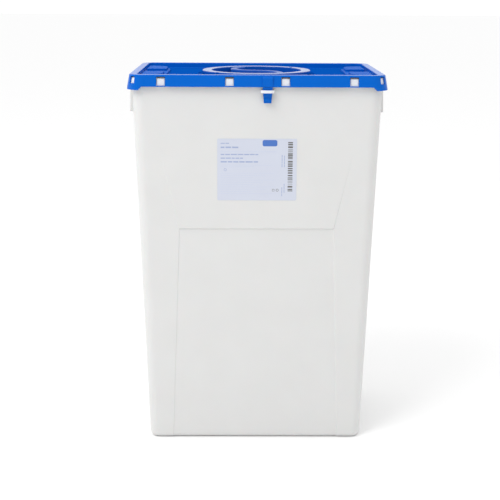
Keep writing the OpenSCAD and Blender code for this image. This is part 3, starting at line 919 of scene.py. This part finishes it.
    @staticmethod
    def finish_numbers(grid: np.ndarray, deck_row: int) -> np.ndarray:
        """Material number of each cell: 0 on the skirt, rim and bead, 1 on the deck.

        Args:
            grid: The skin's points.
            deck_row: First row that lies on the deck.

        Returns:
            Numbers (rows, columns).
        """
        rows = np.arange(len(grid))
        return np.repeat((rows >= deck_row - 1).astype(int)[:, None], grid.shape[1], 1)

    def tab_strip(self) -> Surface:
        """The proud strip on the skirt that leads down to the lock tab."""
        back, out = self.strip_in, ENVELOPE.tab_out
        profile = [(back, self.strip_low), (out, self.strip_low), (out, self.strip_edge),
                   (back + 2, self.strip_top), (back, self.strip_top)]
        return across(rounded_polygon(profile, [0, 0.3, 1.6, 0.8, 0], 4), ENVELOPE.tab_hw, ENVELOPE.tab_x)

    def build(self) -> None:
        """Makes the lid, its strip and its gasket."""
        # The deck's finish is coloured darker than the rim's: painted shade of the recessed deck.
        make_piece("lid_shell", self.skin(), [BLUE_PP_GLOSS, BLUE_PP_DECK_PAINTED_SHADE], Body.LID, ["lid"],
                   wall_mm=ENVELOPE.lid_wall, bevel_mm=0.35)
        make_piece("lid_tab_strip", self.tab_strip(), [BLUE_PP_GLOSS], Body.LID, bevel_mm=0.4)
        make_piece("rim_seal", self.gasket(), [GREY_FOAM], Body.LID, ["lid_gasket"])

    def gasket(self) -> Surface:
        """The foam frame under the rim: a rounded strip section carried round the tub's mouth."""
        corners = box(0.0, self.seal_w, self.seal_low, self.seal_top)
        section = rounded_polygon(corners, [self.seal_soft] * 4, 3)
        out = section[:, :1]
        flat = rings(self.seal_hw + out, self.seal_hd + out, self.seal_r + out,
                     np.linspace(-190, 190, 9)[None, :], np.linspace(-120, 120, 7)[None, :], quarter(8))
        return sheet(lifted(flat, section[:, 1]), wrap_rows=True)


@dataclass
class StackingPads:
    """The end steps on the deck, each with two raised pads."""

    inner_x: float = 164.0
    outer_x: float = 210.3
    half_len: float = 112.0
    big_r: float = 40.0
    deck_z: float = 669.7
    step_z: float = 673.0
    pad_z: float = 677.0
    pad_in: float = 5.0
    pad_y0: float = 28.0
    pad_outer_x: float = 205.0
    pad_far_r: float = 33.0
    pad_sink: float = 0.5
    corner_r: float = 2.5
    tight_r: float = 0.9
    soft: float = 1.1

    @staticmethod
    def box_outline(x0: float, x1: float, y0: float, y1: float,
                    radii: Sequence[float]) -> Callable[[float], np.ndarray]:
        """Gives the outline of a box with its own radius at each corner, at any inset.

        Args:
            x0, x1, y0, y1: The box.
            radii: Corner radii from (x0, y0), counter-clockwise.

        Returns:
            A function from the inset to the outline's points.
        """
        def at(inset: float) -> np.ndarray:
            """The outline, drawn in by the inset."""
            corners = box(x0 + inset, x1 - inset, y0 + inset, y1 - inset)
            return rounded_polygon(corners, [max(r - inset, 0.2) for r in radii], 10)
        return at

    def end(self) -> Surface:
        """The step and both pads at the right-hand end."""
        small, tight, round_far = self.corner_r, self.tight_r, self.pad_far_r
        x0, x1, far = self.inner_x + self.pad_in, self.pad_outer_x, self.half_len - self.pad_in
        step = self.box_outline(self.inner_x, self.outer_x, -self.half_len, self.half_len,
                                [self.big_r, small, small, self.big_r])
        rear = self.box_outline(x0, x1, self.pad_y0, far, [small, small, tight, round_far])
        front = self.box_outline(x0, x1, -far, -self.pad_y0, [round_far, tight, small, small])
        pads = [plateau(pad, self.step_z - self.pad_sink, self.pad_z, self.soft) for pad in (rear, front)]
        return Surface.join([plateau(step, self.deck_z, self.step_z, self.soft), *pads])

    def build(self) -> None:
        """Makes both ends."""
        right = self.end()
        make_piece("stacking_steps", Surface.join([right, right.turned(180)]), [BLUE_PP_STEP], Body.LID,
                   ["stacking_pads"])


@dataclass
class PortNeck:
    """The neck under the deck, its round collar and the bayonet ledges in its bore."""

    bore_r: float = 88.3
    wall: float = 2.5
    collar_r: float = 97.2
    collar_z: float = 673.5
    deck_low: float = 667.5
    foot: float = 646.0
    ledge_r: float = 85.9
    lug_angle: float = 225.0
    lug_half: float = 9.0
    cap_turn: float = 50.0
    stop_gap: float = 0.4
    stop_span: float = 5.0
    join: float = 1.0
    entry_gap: float = 2.0
    root: float = 0.8
    low: float = 651.5
    ledge_z: float = 656.4
    ledge_h: float = 3.0

    def ledges(self) -> list[Surface]:
        """Both ledges with the stop at each end of the cap's turn."""
        made, top = [], self.ledge_z + self.ledge_h
        locked, park = -self.lug_half - self.cap_turn - self.stop_gap, self.lug_half + self.stop_gap
        spans = [(self.ledge_z, locked - self.join, -self.lug_half - self.entry_gap),
                 (self.low, locked - self.stop_span, locked), (self.low, park, park + self.stop_span)]
        for turn in (0, 180):
            for z0, a0, a1 in spans:
                bar = arc_bar(self.ledge_r, self.bore_r + self.root, z0, top, a0, a1)
                made.append(bar.turned(self.lug_angle + turn))
        return made

    def build(self) -> None:
        """Revolves the neck and adds the ledges."""
        outer = self.bore_r + self.wall
        profile = rounded_polygon(
            [(self.bore_r, self.foot), (outer, self.foot), (outer, self.deck_low),
             (self.collar_r, self.deck_low), (self.collar_r, self.collar_z), (self.bore_r, self.collar_z)],
            [1, 1, 0.3, 0.3, 1, 1], 4)
        neck = revolve(profile, full_turn(160))
        make_piece("port_collar", Surface.join([neck, *self.ledges()]), [BLUE_PP_GLOSS], Body.LID,
                   ["port_neck"])


@dataclass
class PortCap:
    """The twist cap with its dish, the web across it and the seal under its flange."""

    flange_r: float = 100.0
    lip_r: float = 97.8
    plug_r: float = 85.5
    dish_r: float = 83.0
    low: float = 651.5
    floor: float = 654.0
    lip_low: float = 671.1
    flange_low: float = 675.5
    top: float = 678.0
    mark_angle: float = 225.0
    notch_half: float = 1.6
    notch_r: float = 98.6
    centre_r: float = 0.8
    lug_reach: float = 2.4
    lug_h: float = 4.2
    lug_half: float = 9.0
    nub_r: float = 3.2
    nub_h: float = 1.2
    nub_in: float = 17 / 3
    web_t: float = 12.0
    web_bulge: float = 27.0
    web_heading: float = 20.0
    web_top: float = 677.0
    web_end_r: float = 84.3
    web_slope: float = 0.3
    web_sink: float = 0.4
    web_overrun: float = 0.15
    seal_box: tuple[float, ...] = (89.8, 95.7, 673.8, 675.5)

    def notch(self, r: np.ndarray, a: np.ndarray) -> np.ndarray:
        """Draws the flange in at the mark: the radius is capped within the notch's angles."""
        near = np.abs(np.degrees(a) - self.mark_angle) < self.notch_half + 0.01
        return np.where(near & (r > self.notch_r), self.notch_r, r)

    def body(self) -> Surface:
        """Plug, flange, lip and dish in one turned profile, with the plug's lugs and the flange's nub."""
        corners = [(self.centre_r, self.low), (self.plug_r, self.low), (self.plug_r, self.flange_low),
                   (self.lip_r, self.flange_low), (self.lip_r, self.lip_low), (self.flange_r, self.lip_low),
                   (self.flange_r, self.top), (self.dish_r, self.top), (self.dish_r, self.floor),
                   (self.centre_r, self.floor)]
        radii = [0, 1.2, 0.3, 0.3, 0.4, 0.4, 1.4, 1.2, 6.0, 0]
        profile = rounded_polygon(corners, radii, 6, closed=False)
        step = self.notch_half
        mark = np.radians(self.mark_angle + np.array([-step - 0.3, -step, 0, step, step + 0.3]))
        angles = np.sort(np.concatenate([full_turn(192), mark]))
        angles = angles[np.concatenate([[True], np.diff(angles) > 1e-4])]
        made = [revolve(profile, angles, closed=False, radius_rule=self.notch)]
        lug = arc_bar(self.plug_r - ENVELOPE.root, self.plug_r + self.lug_reach, self.low,
                      self.low + self.lug_h, -self.lug_half, self.lug_half)
        made += [lug.turned(self.mark_angle + turn) for turn in (0, 180)]
        q = quarter(5)[:-1]
        dome = np.column_stack([self.nub_r * np.cos(q), self.top - 0.3 + (self.nub_h + 0.3) * np.sin(q)])
        nub = revolve(np.concatenate([[[0.4, self.top - 0.4]], dome]), full_turn(24), closed=False)
        made.append(nub.moved((self.flange_r - self.nub_in, 0, 0)).turned(self.mark_angle - 180))
        return Surface.join(made)

    def web(self) -> Surface:
        """The S-shaped web: two equal arcs that meet in the middle with one tangent.

        Each arc spans half of the dish and bulges by a set amount, so its radius is the half chord squared
        plus the bulge squared, over twice the bulge. What runs past the dish's wall is drawn back into it.
        """
        chord = self.dish_r / 2
        arc_r = (chord**2 + self.web_bulge**2) / (2 * self.web_bulge)
        centre = np.array([self.web_bulge - arc_r, -chord])
        reach = math.asin(chord / arc_r)
        a = np.linspace(-reach - self.web_overrun, reach, 45)
        lower = centre + arc_r * np.column_stack([np.cos(a), np.sin(a)])
        flat = np.concatenate([lower, -lower[-2::-1]])
        foot, head = self.web_t / 2 + self.web_slope, self.web_t / 2 - self.web_slope
        foot_z = self.floor - self.web_sink
        corners = [(-foot, foot_z), (foot, foot_z), (head, self.web_top), (-head, self.web_top)]
        section = rounded_polygon(corners, [0, 0, 2.2, 2.2], 6)
        made = sweep(at_height(flat, 0), section).turned(self.web_heading)
        reach_out = np.linalg.norm(made.points[:, :2], axis=1)
        made.points[:, :2] *= np.minimum(1, self.web_end_r / reach_out)[:, None]
        return made

    def build(self) -> None:
        """Makes the cap, its web and its seal."""
        make_piece("port_cap_shell", self.body(), [BLUE_PP_CAP], Body.PORT_CAP, ["port_cap"])
        make_piece("cap_web", self.web(), [BLUE_PP_WEB], Body.PORT_CAP, ["cap_grip"])
        ring = rounded_polygon(box(*self.seal_box), [0.5] * 4, 3)
        make_piece("port_seal", revolve(ring, full_turn(128)), [GREY_FOAM], Body.PORT_GASKET,
                   ["port_gasket"])


@dataclass
class LockTab:
    """The tapered tab that hangs from the skirt, with its barb behind the strap."""

    tip_hw: float = 6.5
    top: float = 659.5
    bottom: float = 632.0
    back: float = 157.25
    tip_back: float = 154.25
    thickness: float = 2.0
    barb_out: float = 160.5
    barb_z: float = 637.6
    catch_out: float = 156.65
    catch_z: float = 641.3

    def build(self) -> None:
        """A side profile carried across, whose width shrinks evenly towards the tip."""
        corners = [(self.tip_back, self.bottom), (self.tip_back + self.thickness, self.bottom),
                   (self.barb_out, self.barb_z), (self.catch_out, self.catch_z),
                   (ENVELOPE.tab_out, self.top), (self.back, self.top)]
        made = across(rounded_polygon(corners, [0.6, 0.6, 0.5, 0.8, 0.3, 0.3], 3), ENVELOPE.tab_hw)
        share = (self.top - made.points[:, 2]) / (self.top - self.bottom)
        made.points[:, 0] *= 1 - share * (1 - self.tip_hw / ENVELOPE.tab_hw)
        make_piece("tab_tongue", made.moved((ENVELOPE.tab_x, 0, 0)), [BLUE_PP_GLOSS], Body.LOCK_TAB,
                   ["lock_tab"], bevel_mm=0.5)


@dataclass
class FrontLabel:
    """The label on the raised field, with a generic print of bars, stripes and simple signs."""

    width: float = 140.0
    height: float = 110.5
    thickness: float = 0.3
    up: float = 52.0
    corner_r: float = 2.5
    ink_t: float = 0.04
    ink_sink: float = 0.01
    film_gap: float = 0.005
    seed: int = 7
    left: float = -64.0
    fine_lines: tuple[tuple[float, float], ...] = ((88.0, 37), (63.4, 28), (60.7, -4))
    list_top: float = 49.0
    list_step: float = 4.1
    list_ends: tuple[float, ...] = (34, 15, -4)
    bold_lines: tuple[tuple[float, float, float], ...] = (
        (102.1, -44, 1.6), (95.0, -32, 2.6), (82.4, 7, 2.0), (75.8, -19, 2.0), (69.3, 8, 2.4))
    upright_lines: tuple[tuple[float, float, float, float], ...] = (
        (43.5, 60, 84, 1.1), (47.6, 60, 84, 1.1), (43.5, 8, 31, 1.3), (47.6, 14, 31, 1.3))
    upright_w: float = 1.2
    rule: tuple[float, ...] = (-65.0, 36.0, 86.3, 86.7)
    stripes_x: tuple[float, float] = (54.4, 62.8)
    stripes_up: tuple[float, float] = (14.0, 106.4)
    badge: tuple[float, ...] = (9.5, 35.5, 97.0, 108.2)
    badge_r: float = 3.2

    def place(self, surface: Surface) -> Surface:
        """Lays a surface drawn as (across, up, off the film) on the tub's sloping front.

        The film's foot rests on the raised field and its head on the wall, so it leans by the difference
        over its height.
        """
        tub = Tub()
        foot = tub.panel_depth * (1 - self.up / tub.field_h)
        lean = math.atan(foot / self.height)
        draft = math.radians(ENVELOPE.draft)
        u, v = surface.points[:, 1], surface.points[:, 2]
        along = self.up + u * math.cos(lean) + v * math.sin(lean)
        off = foot + self.film_gap - u * math.sin(lean) + v * math.cos(lean)
        y = -ENVELOPE.tub_hd(tub.panel_h) - along * math.sin(draft) - off * math.cos(draft)
        z = tub.panel_h + along * math.cos(draft) - off * math.sin(draft)
        return Surface(np.column_stack([surface.points[:, 0], y, z]), surface.faces, surface.marks)

    def ink_levels(self) -> tuple[float, float]:
        """How far the ink's foot and its face lie above the film's back."""
        return self.thickness - self.ink_sink, self.thickness + self.ink_t

    def tiles(self, boxes: np.ndarray, mark: int) -> Surface:
        """Thin closed tiles of ink, one for each box (x0, x1, up0, up1).

        Args:
            boxes: The boxes (n, 4).
            mark: Material number.

        Returns:
            The tiles.
        """
        x, u = boxes[:, [0, 1, 1, 0]], boxes[:, [2, 2, 3, 3]]
        low, high = self.ink_levels()
        base = np.stack([x, u, np.full(x.shape, low)], -1)
        top = np.stack([x, u, np.full(x.shape, high)], -1)
        points = np.concatenate([base, top], 1).reshape(-1, 3)
        cube = np.array([[3, 2, 1, 0], [4, 5, 6, 7], [0, 1, 5, 4], [1, 2, 6, 5], [2, 3, 7, 6], [3, 0, 4, 7]])
        faces = (cube[None] + 8 * np.arange(len(boxes))[:, None, None]).reshape(-1, 4).tolist()
        return Surface(points, faces, [mark] * len(faces))

    @staticmethod
    def words(rng: np.random.Generator, left: float, right: float, up: float, tall: float) -> np.ndarray:
        """One line of word-long bars.

        Args:
            rng: Source of the bars' lengths.
            left, right: Where the line starts and ends.
            up: Height of its middle.
            tall: Height of its bars.

        Returns:
            Boxes (n, 4).
        """
        lengths = rng.uniform(2.5, 5.5, 60) * tall
        starts = left + np.concatenate([[0], np.cumsum(lengths + 0.7 * tall)[:-1]])
        fits = starts + lengths <= right
        x0, x1 = starts[fits], (starts + lengths)[fits]
        return np.column_stack([x0, x1, np.full(len(x0), up - tall / 2), np.full(len(x0), up + tall / 2)])

    def sign_ring(self, x: float, up: float, outer: float, inner: float, mark: int,
                  sides: int = 24) -> Surface:
        """A printed ring or frame with any number of sides."""
        ring = np.array(box(inner, outer, *self.ink_levels()))
        return revolve(ring, full_turn(sides) + math.pi / sides).moved((x, up, 0)).marked(mark)

    def printing(self) -> Surface:
        """Every printed mark: heading bars, lines, a badge, simple signs and a strip of stripes."""
        rng = np.random.default_rng(self.seed)
        pale, heading, blue, dark = 0, 1, 2, 3
        rows = [(self.list_top - self.list_step * k, self.list_ends[k % 3]) for k in range(10)]
        fine = [self.words(rng, self.left, end, up, 1.0) for up, end in [*self.fine_lines, *rows]]
        bold = [self.words(rng, self.left, end, up, tall) for up, end, tall in self.bold_lines]
        columns = []
        for x, low, high, tall in self.upright_lines:
            line = self.words(rng, low, high, 0, tall)
            columns.append(np.insert(line[:, :2], 0, [[x], [x + self.upright_w]], axis=1))
        start, end = self.stripes_up
        edges = start + np.cumsum(rng.uniform(0.7, 3.2, 90))
        edges = edges[edges < end]
        edges = edges[: len(edges) // 2 * 2].reshape(-1, 2)
        stripes = np.insert(edges, 0, [[side] for side in self.stripes_x], axis=1)
        outline = rounded_polygon(box(*self.badge), [self.badge_r] * 4, 6)
        badge = sheet(np.stack([at_height(outline, h) for h in self.ink_levels()]), caps=True)
        signs = [self.sign_ring(-56, 55.2, 2.6, 1.9, heading), self.sign_ring(29, 18.6, 2.8, 2.0, dark, 4),
                 self.sign_ring(36, 18.6, 2.4, 1.7, dark)]
        inked = [(fine, pale), (columns, heading), (bold, heading), ([np.array([self.rule])], pale),
                 ([stripes], dark)]
        tiles = [self.tiles(np.concatenate(boxes), mark) for boxes, mark in inked]
        return Surface.join([*tiles, badge.marked(blue), *signs])

    def film(self) -> Surface:
        """The film: a thin plate with rounded corners."""
        hw = self.width / 2
        outline = rounded_polygon(box(-hw, hw, 0, self.height), [self.corner_r] * 4, 6)
        return sheet(np.stack([at_height(outline, h) for h in (0.0, self.thickness)]), caps=True)

    def build(self) -> None:
        """Makes the film and its print."""
        make_piece("label_film", self.place(self.film()), [LABEL_FILM], Body.CONTAINER,
                   ["front_label"])
        make_piece("label_print", self.place(self.printing()), [INK_PALE, INK_HEADING, INK_BLUE, INK_DARK],
                   Body.CONTAINER)


@dataclass(frozen=True)
class Lamp:
    """A rectangular soft light, with its place, aim, width and height in metres."""

    name: str
    at: tuple[float, float, float]
    aim: tuple[float, float, float]
    size: tuple[float, float]
    watts: float

    def build(self) -> None:
        """Adds the light, turned to what it aims at."""
        data = bpy.data.lights.new(self.name, "AREA")
        data.shape, data.energy = "RECTANGLE", self.watts
        data.size, data.size_y = self.size
        made = add_object(self.name, data)
        made.location = self.at
        made.rotation_euler = (Vector(self.aim) - Vector(self.at)).to_track_quat("-Z", "Y").to_euler()


@dataclass
class Studio:
    """Floor, light and camera, in metres and degrees."""

    lens_mm: float = 78.34
    sensor_mm: float = 36.0
    camera_at: tuple[float, float, float] = (-0.0308, -2.0435, 0.8310)
    yaw: float = -0.58
    tilt: float = 76.30
    roll: float = 0.29
    floor_half: float = 30.0
    sky_way: tuple[float, float, float] = (0.0, 0.5, 0.87)
    sky_low: float = 0.3
    sky_high: float = 1.06
    sky_span: tuple[float, float] = (-0.6, 0.3)
    lamps: tuple[Lamp, ...] = (
        Lamp("key", at=(-1.5, -1.7, 3.0), aim=(0, 0, 0.1), size=(1.5, 1.5), watts=40.0),
        Lamp("side", at=(-2.2, 0.1, 0.7), aim=(0, 0, 0.4), size=(0.9, 1.4), watts=2.0))

    def camera(self) -> None:
        """The camera, pitched down at the front of the object."""
        data = bpy.data.cameras.new("camera")
        data.lens, data.sensor_width, data.clip_end = self.lens_mm, self.sensor_mm, 200.0
        made = add_object("camera", data)
        place = Matrix.Translation(Vector(self.camera_at))
        for degrees, axis in ((self.yaw, "Z"), (self.tilt, "X"), (self.roll, "Z")):
            place = place @ Matrix.Rotation(math.radians(degrees), 4, axis)
        made.matrix_world = place
        bpy.context.scene.camera = made

    def floor(self) -> None:
        """A wide pale floor."""
        h = self.floor_half
        mesh = bpy.data.meshes.new("floor")
        mesh.from_pydata([(-h, -h, 0), (h, -h, 0), (h, h, 0), (-h, h, 0)], [], [(0, 1, 2, 3)])
        made = add_object("floor", mesh)
        paint = bpy.data.materials.new("floor_paint")
        paint.use_nodes = True
        paint.node_tree.nodes.clear()
        shader = add_node(paint.node_tree, "ShaderNodeBsdfDiffuse", inputs={"Color": linear("#FAFAFA")})
        add_node(paint.node_tree, "ShaderNodeOutputMaterial", inputs={"Surface": shader.outputs["BSDF"]})
        mesh.materials.append(paint)

    def sky(self) -> None:
        """A white surround behind and beside the object that grows darker in front of it."""
        world = bpy.data.worlds.new("studio")
        world.use_nodes = True
        tree = world.node_tree
        tree.nodes.clear()
        way = add_node(tree, "ShaderNodeTexCoord").outputs["Generated"]
        lean = add_node(tree, "ShaderNodeVectorMath", {"operation": "DOT_PRODUCT"}, {0: way, 1: self.sky_way})
        level = add_node(tree, "ShaderNodeMapRange", inputs={
            "Value": lean.outputs["Value"], "From Min": self.sky_span[0], "From Max": self.sky_span[1],
            "To Min": self.sky_low, "To Max": self.sky_high})
        back = add_node(tree, "ShaderNodeBackground", inputs={
            "Color": (1, 1, 1, 1), "Strength": level.outputs[0]})
        add_node(tree, "ShaderNodeOutputWorld", inputs={"Surface": back.outputs["Background"]})
        bpy.context.scene.world = world

    def build(self) -> None:
        """Sets up the studio."""
        bpy.context.scene.view_settings.view_transform = "Standard"
        self.camera()
        self.floor()
        self.sky()
        for lamp in self.lamps:
            lamp.build()


def main() -> None:
    """Builds the studio and every sub-assembly."""
    logging.basicConfig(level=logging.INFO, format="%(name)s: %(message)s")
    for part in (Studio(), Tub(), LockStrap(), SideGrip(-1), SideGrip(1), FrontLabel(), Lid(), StackingPads(),
                 PortNeck(), PortCap(), LockTab()):
        part.build()
        LOG.info("%s is built", type(part).__name__)
    bpy.context.view_layer.update()


if __name__ == "__main__":
    main()
